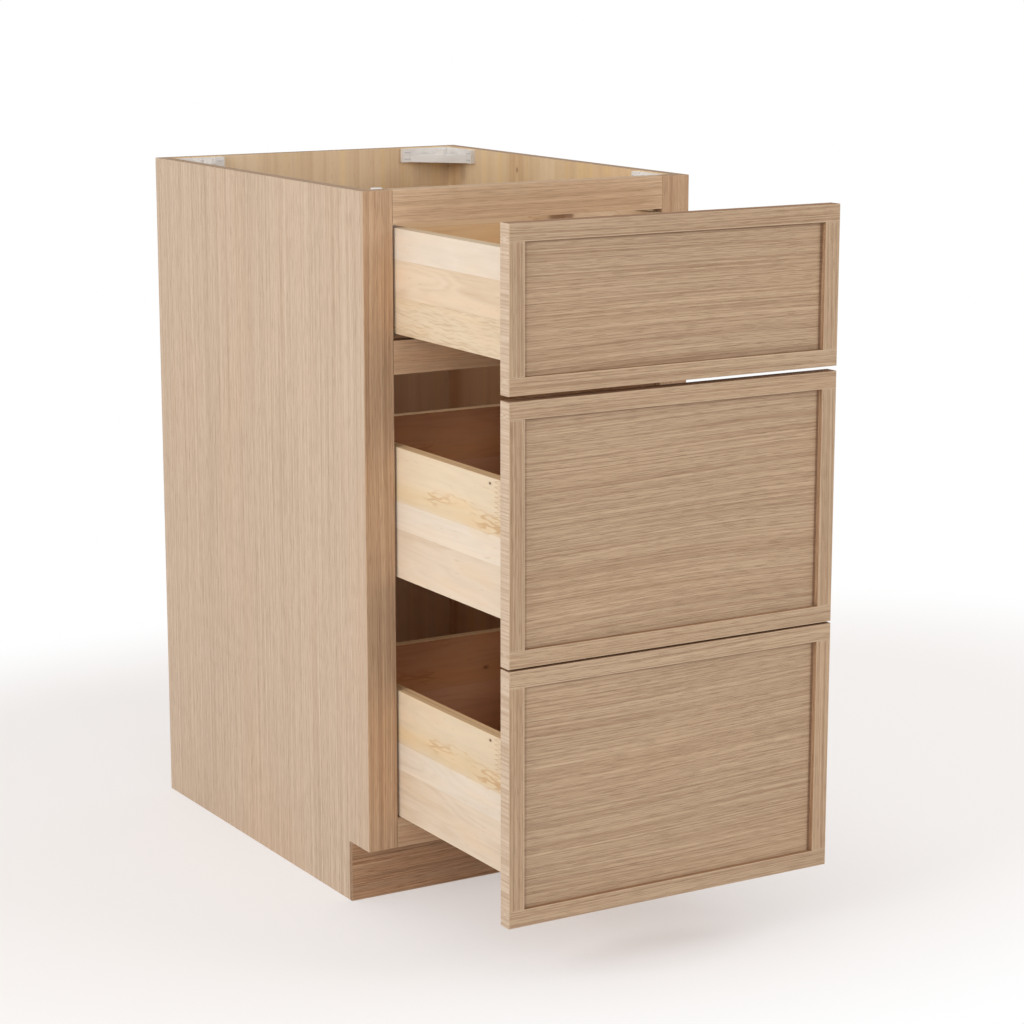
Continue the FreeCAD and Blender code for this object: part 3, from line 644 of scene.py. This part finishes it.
# %% Dress the panels
dress("left_side_panel", side_ply("left_side_panel", -1, SIDE_SEEDS["left"]))
seen_knots = ((402.9, 230.5, 8.0, 0.15), (417.4, 83.5, 2.4, 0.6), (330.0, 60.0, 2.5, 0.6))
dress("right_side_panel", side_ply("right_side_panel", 1, SIDE_SEEDS["right"], seen_knots))
dress("back_panel", maple_ply("back_panel", "zxy", 52.3, tone=1.05, richness=0.92))
dress("cabinet_floor", maple_ply("cabinet_floor", "xyz", 55.1))
dress("toe_kick_board", maple_ply("toe_kick_board", "xzy", 58.7, tone=0.95))
dress("runner_cleats", maple_ply("runner_cleats", "yzx", 61.9, tone=0.97))
for place, drawer in enumerate(("top", "middle", "bottom")):
    bottom = f"{drawer}_drawer_bottom"
    dress(bottom, maple_ply(bottom, "xyz", 64.7 + 3.1 * place, knots=0.15))

# %% [markdown]
# ## Drawer box boards
# The boxes are made of pale maple boards, each glued up from three long staves, and every stave
# is its own shade of cream, white or peach. A stave is made of shorter blocks joined end to end
# by glued fingers. A zigzag added to the length before the blocks are counted draws the fingers,
# and each block takes its own shade from its number. On the two lower boxes one stave is cut
# near the heart and shows soft brown curly marks. On the top box the lowest stave ripples like
# a washboard.

# %% Staved maple
STAVE_PALE = paint(229, 215, 197)
STAVE_MIDDLE = paint(219, 203, 183)
STAVE_DARK = paint(196, 172, 144)
STAVE_EDGE = paint(184, 146, 106)
STAVE_WHITE = paint(251, 250, 250)
STAVE_CREAM = paint(247, 240, 226)
STAVE_PEACH = paint(254, 246, 236)
STAVE_WARM = paint(250, 245, 239)
CURL_YELLOW = paint(255, 246, 222)
CURL_BROWN = paint(182, 136, 86)
BACK_ORANGE = paint(255, 246, 230)
BLOCK_LENGTH = 520.0 * MM
FINGER_PITCH = 5.8 * MM
FINGER_LENGTH = 15.0 * MM
# The inside colours are painted warm shade on the inner faces of each box.
UPPER_BOX = {"seams": (37, 81), "tints": (STAVE_WHITE, STAVE_PEACH, STAVE_CREAM),
             "joints": (120, 150, 90),
             "curl_depth": 0, "ripple": 2, "inside": paint(255, 247, 234),
             "edges": (paint(208, 184, 150), paint(204, 180, 148))}
LOWER_BOX = {"seams": (65, 99), "tints": (STAVE_CREAM, STAVE_WHITE, STAVE_WARM),
             "joints": (-190, 90, 200),
             "curl_depth": 52, "ripple": 9, "inside": paint(250, 234, 220),
             "edges": (paint(246, 208, 158), paint(240, 204, 158))}
UPPER_BACK = dict(UPPER_BOX, seams=(24, 70), tints=(STAVE_WHITE, BACK_ORANGE, STAVE_PEACH))
LOWER_BACK = dict(LOWER_BOX, inside=paint(236, 190, 164))


def curly_marks(board, depth, seed):
    """Yellow band and brown curls along one line of the board, a depth in metres from the top."""
    wander = (lumps(board.place, (14, 14, 14), seed + 61, 2) - 0.5) * 0.030
    off_line = abs(board.half[1] - board.across - depth + wander)
    band = off_line.fade(0.020, 0.004)
    swirl = lumps(board.place, (17, 90, 90), seed + 67, 2)
    busy = lumps(board.place, (9, 30, 30), seed + 73, 1).fade(0.42, 0.58)
    marks = near_line(swirl - 0.52, 0.055) * busy
    return band, marks * off_line.fade(0.018, 0.006)


def staved_board(node, axes, seed, box, inward, placed=(), painted_light_lift=1.0):
    """Maple glued up from three staves, with the seams, joints and tints of its box."""
    material, start = new_material("maple_" + node)
    board = read_board(start, node, axes)
    from_top = board.half[1] - board.across
    past = [from_top > seam * MM for seam in box["seams"]]
    stave = past[0] + past[1]
    zigzag = board.across.maths("PINGPONG", board.across, FINGER_PITCH / 2)
    zigzag = zigzag * (2 * FINGER_LENGTH / FINGER_PITCH) - FINGER_LENGTH / 2
    first, second, third = (place * MM for place in box["joints"])
    joint_at = first + past[0] * (second - first) + past[1] * (third - second)
    count = (board.along + zigzag - joint_at) / BLOCK_LENGTH
    block = count.floor()
    chance = start.node("TexWhiteNoise", inputs={"Vector": vector(stave, block, seed)})
    shifted = vector(board.along + chance * 3, board.across + chance, board.through)
    slow = lumps(shifted, (2.0, 15, 15), seed, 3)
    contour = slow.maths("PINGPONG", slow * 16, 0.5) * 2
    streaks = lumps(shifted, (7, 260, 260), seed + 5, 2)
    flecks = lumps(shifted, (45, 380, 380), seed + 9, 1).fade(0.66, 0.80)
    patches = lumps(shifted, (9, 50, 50), seed + 21, 2)
    sway = (lumps(board.place, (45, 45, 45), seed + 29, 1) - 0.5) * 0.007
    waved = vector(board.along, board.across + sway, board.through)
    ripples = lumps(waved, (34, 420, 60), seed + 25, 1) * (abs(stave - box["ripple"]) < 0.5)
    tone = (0.5 + (contour - 0.5) * 0.12 + (streaks - 0.5) * 0.30 + (slow - 0.5) * 0.8
            + (chance - 0.5) * 0.20 + (patches - 0.5) * 0.45 - ripples.fade(0.42, 0.66) * 0.22)
    stops = [(0.10, STAVE_DARK), (0.45, STAVE_MIDDLE), (0.80, STAVE_PALE)]
    colour = tone.node("ValToRGB", {"stops": stops}, {0: tone})
    tints = box["tints"]
    tint = past[1].blend(past[0].blend(tints[0], tints[1]), tints[2])
    colour = colour.times(tint)
    colour = (patches.fade(0.45, 0.7) * 0.6).blend(colour, STAVE_PEACH, "MULTIPLY")
    colour = (flecks * 0.28).blend(colour, STAVE_EDGE)
    if box["curl_depth"]:
        band, marks = curly_marks(board, box["curl_depth"] * MM, 7.7)
        colour = (band * 0.5).blend(colour, CURL_YELLOW, "MULTIPLY")
        colour = (marks * 0.52).blend(colour, CURL_BROWN)
    finger_line = near_line(count - (count + 0.5).floor(), 0.0055)
    glue_line = near_line(from_top - box["seams"][0] * MM, 0.0006)
    glue_line = glue_line + near_line(from_top - box["seams"][1] * MM, 0.0006)
    colour = (finger_line * 0.62).blend(colour, STAVE_EDGE)
    colour = (glue_line * 0.22).blend(colour, STAVE_EDGE)
    spots = knot_spots(board.place, 9.0, seed + 17, 0.08)
    for knot in placed:
        spots = spots.maths("MAXIMUM", spots, knot_at(board, *knot))
    colour = (spots * 0.85).blend(colour, KNOT)
    # Painted warm shade on the inner faces, strongest on the backs of the two lower boxes.
    inside = (board.facing[2] * inward).fade(0.5, 0.7)
    colour = inside.blend(colour, box["inside"], "MULTIPLY")
    top_edge = board.facing[1].fade(0.6, 0.8)
    inner_half = (board.through * inward).fade(-0.0008, 0.0008)
    middle_line = near_line(board.through, 0.0014)
    edge = inner_half.blend(box["edges"][1], box["edges"][0])
    edge = (middle_line * 0.35).blend(edge, STAVE_EDGE)
    edge = (streaks.fade(0.4, 0.8) * 0.4).blend(edge, STAVE_DARK, "MULTIPLY")
    colour = (top_edge * 0.9).blend(colour, edge)
    # Painted light: a few boards of the top box are made lighter.
    colour = start.node("HueSaturation", inputs={"Value": painted_light_lift, "Color": colour})
    end_on = abs(board.facing[0]).fade(0.6, 0.8)
    colour = (end_on * 0.6).blend(colour, STAVE_EDGE)
    roughness = 0.42 + (streaks - 0.5) * 0.2 + spots * 0.1 + top_edge * 0.25
    height = streaks * 0.5 - finger_line * 0.4 - glue_line * 0.2 - spots * 0.4
    close_material(start, colour, roughness, height, 0.0003, Specular_IOR_Level=WOOD_GLOSS)
    return material


print("blocks in a stave are", round(BLOCK_LENGTH / MM), "mm long")

# %% [markdown]
# ## Dress the drawer boxes
# The boards of one box share its seams and tints, as if they were cut from one glued panel. The
# top box is lower than the other two, so its seams lie elsewhere. Knots could all be left to
# the seed. A few are placed one by one instead, because they show from the camera.

# %% Dress the drawer boxes
for place, drawer in enumerate(("top", "middle", "bottom")):
    seed = 71.3 + 8.9 * place
    box = UPPER_BOX if drawer == "top" else LOWER_BOX
    for hand, step, inward in (("left", 0.0, 1), ("right", 1.7, -1)):
        side = f"{drawer}_drawer_{hand}_side"
        knots = ((232.0, 44.0, 7.0, 0.5),) if drawer == "top" else ((-172.2, 72.0, 1.8),)
        # Painted light on the top box's right side.
        painted_light_lift = 1.08 if side == "top_drawer_right_side" else 1.0
        dress(side, staved_board(side, "yzx", seed + step, box, inward, knots, painted_light_lift))
    front = f"{drawer}_drawer_box_front"
    dress(front, staved_board(front, "xzy", seed + 3.1, box, 1))
    back = f"{drawer}_drawer_box_back"
    if drawer == "top":
        # A large dark brown mark near the right end of the back.
        knots = ((158.0, 44.0, 11.0, 0.5),)
        dress(back, staved_board(back, "xzy", seed + 4.7, UPPER_BACK, -1, knots, 1.19))
    else:
        dress(back, staved_board(back, "xzy", seed + 4.7, LOWER_BACK, -1))

# %% [markdown]
# ## Steel and plastic
# The runners are folded from zinc-plated steel: grey, fairly sharp in reflection, with faint
# lines along the rolled strip and cloudy plating. The braces and clips are moulded, so their
# skin is even, with a fine spark-eroded texture and slight flow marks. None of them shows much
# colour, and their roughness and bump tell them apart.

# %% Runners, braces and clips
ZINC = paint(196, 199, 202)
ZINC_DULL = paint(182, 185, 189)
BRACE_WHITE = paint(232, 228, 223)
BRACE_SHADE = paint(220, 214, 208)
CLIP_GREY = paint(82, 84, 88)
CLIP_SHADE = paint(64, 66, 70)


def plated_steel(name):
    """Zinc-plated sheet whose rolled lines run from front to back of the cabinet."""
    material, start = new_material(name)
    place = start.node("TexCoord", output="Object")
    rolled = lumps(place, (900, 8, 900), 2.3, 2)
    clouds = lumps(place, (35, 35, 35), 7.9, 3)
    specks = lumps(place, (700, 700, 700), 4.1, 1).fade(0.62, 0.75)
    colour = clouds.fade(0.35, 0.65).blend(ZINC_DULL, ZINC)
    colour = (specks * 0.3).blend(colour, ZINC_DULL)
    roughness = 0.33 + clouds * 0.08 + rolled * 0.08
    close_material(start, colour, roughness, rolled, 0.0001, Metallic=1.0)
    return material


def moulded_plastic(name, light, dark, dullness):
    """Moulded plastic between two near tones; dullness is its mean roughness."""
    material, start = new_material(name)
    place = start.node("TexCoord", output="Object")
    flow = lumps(place, (18, 18, 40), 3.7, 3)
    skin = lumps(place, (2200, 2200, 2200), 5.3, 1)
    colour = flow.fade(0.35, 0.7).blend(dark, light)
    roughness = dullness + (skin - 0.5) * 0.12 + (flow - 0.5) * 0.1
    close_material(start, colour, roughness, skin + flow, 0.00015)
    return material


steel = plated_steel("zinc_plated_steel")
brace_plastic = moulded_plastic("white_brace_plastic", BRACE_WHITE, BRACE_SHADE, 0.38)
clip_plastic = moulded_plastic("grey_clip_plastic", CLIP_GREY, CLIP_SHADE, 0.5)
for corner in ("front_left", "front_right", "rear_left", "rear_right"):
    dress(f"{corner}_corner_brace", brace_plastic)
for drawer in ("top", "middle", "bottom"):
    for member in ("cabinet", "middle", "drawer"):
        dress(f"{drawer}_{member}_runners", steel)
    dress(f"{drawer}_locking_clips", clip_plastic)

# %% [markdown]
# ## Screws with a cross recess
# Every screw that shows is a round head with a cross pressed into it, some with a washer. A
# short cylinder is only the blank: its rim is bevelled to a dome, its top is inset, the points
# between the four arms are drawn in, and the cross that is left is pushed down and tapered. A
# boolean with a cross would cut the same recess, but would leave long thin triangles.

# %% Model one screw head
import bmesh

ROUND_STEPS = 24
ARM_HALF_ANGLE = 16
FOOT_SUNK = 0.1 * MM
WASHER_THICK = 0.8 * MM


def choose(kind, test):
    """In edit mode, select only the faces, edges or verts that pass a test."""
    mesh = bpy.context.edit_object.data
    bpy.ops.mesh.select_mode(type={"faces": "FACE", "edges": "EDGE", "verts": "VERT"}[kind])
    bpy.ops.mesh.select_all(action="DESELECT")
    shape = bmesh.from_edit_mesh(mesh)
    for item in getattr(shape, kind):
        if test(item):
            item.select_set(True)
    bmesh.update_edit_mesh(mesh)


def is_cap(face):
    """The many-sided face on top of a turned piece."""
    return len(face.verts) == ROUND_STEPS and face.normal.z > 0.9


def is_cap_edge(edge):
    return any(is_cap(face) for face in edge.link_faces)


def between_arms(vert):
    """True for a point of the inner cap that lies between two arms of the cross."""
    if not any(is_cap(face) for face in vert.link_faces):
        return False
    turn = math.degrees(math.atan2(vert.co.y, vert.co.x)) % 90
    return ARM_HALF_ANGLE < turn < 90 - ARM_HALF_ANGLE


def start_disc(name, radius, thickness):
    """A short cylinder with its foot just under z = 0, left in edit mode."""
    bpy.ops.object.select_all(action="DESELECT")
    bpy.ops.mesh.primitive_cylinder_add(vertices=ROUND_STEPS, radius=radius, depth=thickness,
                                        location=(0, 0, thickness / 2 - FOOT_SUNK))
    disc = bpy.context.object
    disc.name = name
    bpy.ops.object.transform_apply(location=True, rotation=False, scale=False)
    bpy.ops.object.mode_set(mode="EDIT")
    return disc


def model_screw(name, head, height, washer=0.0):
    """A domed screw head with a cross recess, on a washer where one is asked for."""
    screw = start_disc(name, washer or head, WASHER_THICK if washer else height)
    if washer:
        choose("faces", is_cap)
        bpy.ops.mesh.inset(thickness=washer - head)
        bpy.ops.mesh.extrude_region_move(TRANSFORM_OT_translate={"value": (0, 0, height)})
    choose("edges", is_cap_edge)
    bpy.ops.mesh.bevel(offset=height * 0.55, segments=3, affect="EDGES")
    choose("faces", is_cap)
    bpy.ops.mesh.inset(thickness=head * 0.16)
    choose("verts", between_arms)
    bpy.ops.transform.resize(value=(0.42, 0.42, 1))
    choose("faces", is_cap)
    bpy.ops.mesh.extrude_region_move(TRANSFORM_OT_translate={"value": (0, 0, -height * 0.6)})
    bpy.ops.transform.resize(value=(0.75, 0.75, 1))
    bpy.ops.object.mode_set(mode="OBJECT")
    bpy.ops.object.shade_smooth_by_angle(angle=math.radians(35))
    print(name, len(screw.data.polygons), "faces,", [round(1000 * side, 1) for side in
                                                   screw.dimensions], "mm")
    return screw


runner_screw = model_screw("runner_screw", 3.5 * MM, 1.0 * MM)
front_screw = model_screw("front_screw", 4.0 * MM, 2.0 * MM, washer=6.5 * MM)

# %% [markdown]
# ## Staples
# The corner braces are stapled through the thick ends of their legs. A staple is one bent wire,
# so it is modelled as one: a small disc is drawn up out of the brace, spun a quarter turn over
# each shoulder with a straight crown between them, and drawn down again. Spin turned against
# the right-hand rule about its axis when it was measured, so its angle is negative here. With
# the other sign the wire folds back into itself, and the height printed below is 1.25 mm and
# not 2.25 mm.

# %% Model one staple
WIRE = 0.9 * MM
CROWN = 9.0 * MM
SHOULDER = 0.8 * MM
LEG = 1.0 * MM


def draw_out(offset):
    bpy.ops.mesh.extrude_region_move(TRANSFORM_OT_translate={"value": offset})


def turn_shoulder(centre):
    """Turn the wire's end a quarter about a centre, clockwise as seen from the front."""
    bpy.ops.mesh.spin(steps=4, angle=math.radians(-90), center=centre, axis=(0, 1, 0))


def model_staple():
    bpy.ops.object.select_all(action="DESELECT")
    bpy.ops.mesh.primitive_circle_add(vertices=8, radius=WIRE / 2, fill_type="NGON",
                                      location=(-CROWN / 2, 0, -LEG))
    staple = bpy.context.object
    staple.name = "brace_staple"
    bpy.ops.object.transform_apply(location=True, rotation=False, scale=False)
    bpy.ops.object.mode_set(mode="EDIT")
    bpy.ops.mesh.select_all(action="SELECT")
    draw_out((0, 0, LEG))
    turn_shoulder((SHOULDER - CROWN / 2, 0, 0))
    draw_out((CROWN - 2 * SHOULDER, 0, 0))
    turn_shoulder((CROWN / 2 - SHOULDER, 0, 0))
    draw_out((0, 0, -LEG))
    bpy.ops.mesh.select_all(action="SELECT")
    bpy.ops.mesh.normals_make_consistent(inside=False)
    bpy.ops.object.mode_set(mode="OBJECT")
    bpy.ops.object.shade_smooth_by_angle(angle=math.radians(50))
    print("staple", [round(1000 * side, 2) for side in staple.dimensions], "mm,",
          len(staple.data.polygons), "faces")
    return staple


staple_model = model_staple()

# %% [markdown]
# ## Bumpers
# A soft clear dot behind each corner of a drawer front lands on the face frame, so that the
# front closes without a knock. It is a low dome: a disc whose rim is rounded over in steps.

# %% Model one bumper
def model_bumper():
    bumper = start_disc("bumper", 4.5 * MM, 1.3 * MM)
    choose("edges", is_cap_edge)
    bpy.ops.mesh.bevel(offset=0.9 * MM, segments=4, affect="EDGES")
    choose("faces", is_cap)
    bpy.ops.mesh.inset(thickness=1.0 * MM)
    bpy.ops.object.mode_set(mode="OBJECT")
    bpy.ops.object.shade_smooth_by_angle(angle=math.radians(35))
    print("bumper", len(bumper.data.polygons), "faces")
    return bumper


bumper_model = model_bumper()

# %% [markdown]
# ## Set the fasteners where they hold
# Each model is copied to its spots, turned so that it stands on the board it holds, and the
# copies are joined into one set for each body, because a drawer carries its own screws along.

# %% Copy the fasteners
def place_set(model, spots, name, body, material):
    """Copy a model to spots, each a place in millimetres and a direction, as one piece."""
    copies = []
    for place, direction in spots:
        bpy.ops.object.select_all(action="DESELECT")
        model.select_set(True)
        bpy.context.view_layer.objects.active = model
        bpy.ops.object.duplicate(linked=False)
        copy = bpy.context.object
        copy.location = Vector(place) * MM
        copy.rotation_euler = Vector(direction).to_track_quat("Z", "Y").to_euler()
        bpy.ops.object.transform_apply(location=True, rotation=True, scale=True)
        copies.append(copy)
    bpy.ops.object.select_all(action="DESELECT")
    for copy in copies:
        copy.select_set(True)
    bpy.context.view_layer.objects.active = copies[0]
    bpy.ops.object.join()
    piece = bpy.context.object
    piece.name = name
    piece.data.name = name
    piece.data.materials.append(material)
    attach(piece, body)
    print(name, len(spots), "copies on", body)


# %% Staple the braces, in millimetres
STAPLE_HEIGHTS = (861.0, 870.0)
STAPLE_SUNK = 0.5
PAD_SIDEWAYS = 143.6  # middle of the thick leg end that lies along the front or the back
SIDE_PAD_FACE = 205.6  # face of the thick leg end that lies along a side
staple_spots = []
for hand in (-1, 1):
    for leg_face, side_place, inward in ((-564, -502, 1), (-19.7, -81.7, -1)):
        for height in STAPLE_HEIGHTS:
            staple_spots.append(((hand * PAD_SIDEWAYS, leg_face - inward * STAPLE_SUNK, height),
                                 (0, inward, 0)))
            staple_spots.append(((hand * (SIDE_PAD_FACE + STAPLE_SUNK), side_place, height),
                                 (-hand, 0, 0)))
place_set(staple_model, staple_spots, "brace_staples", "root", steel)

# %% Screw the runners and the fronts, and set the bumpers, in millimetres
BOX_BASES = {"top": 707.5, "middle": 414, "bottom": 115}
FIXING_HEIGHTS = {"top": (35, 90), "middle": (40, 110), "bottom": (40, 110)}
BUMPER_HEIGHTS = {"top": (691.6, 854.3), "middle": (388, 661.6), "bottom": (88, 361.6)}
RUNNER_WALL = 187.1  # the cabinet member, to the left and right of the middle
RUNNER_SCREW_RISE = 20  # over the base of the drawer box
RUNNER_SCREW_PLACES = (-126, -254, -382, -510)
BOX_FRONT_INSIDE = -875
BACK_OF_FRONT = -890
runner_spots = [((hand * RUNNER_WALL, place, base + RUNNER_SCREW_RISE), (-hand, 0, 0))
                for base in BOX_BASES.values() for hand in (-1, 1)
                for place in RUNNER_SCREW_PLACES]
place_set(runner_screw, runner_spots, "runner_screws", "root", steel)
bumper_rubber = moulded_plastic("clear_bumper_rubber", BRACE_WHITE, BRACE_SHADE, 0.25)
for drawer, base in BOX_BASES.items():
    body = f"{drawer}_drawer"
    spots = [((side, BOX_FRONT_INSIDE, base + height), (0, 1, 0)) for side in (-110, 110)
             for height in FIXING_HEIGHTS[drawer]]
    place_set(front_screw, spots, f"{drawer}_front_screws", body, steel)
    spots = [((side, BACK_OF_FRONT, height), (0, 1, 0)) for side in (-205, 205)
             for height in BUMPER_HEIGHTS[drawer]]
    place_set(bumper_model, spots, f"{drawer}_front_bumpers", body,
              bumper_rubber)

# %% [markdown]
# ## Clear the models away
# The first staple, screws and bumper were only patterns to copy from, and they still lie on
# the floor. They could be kept out of sight, but nothing needs them any more, so they are
# deleted. Everything else is deselected first, and stays.

# %% Clear the models away
bpy.ops.object.select_all(action="DESELECT")
for model in (staple_model, runner_screw, front_screw, bumper_model):
    model.select_set(True)
bpy.ops.object.delete()
print("models cleared")
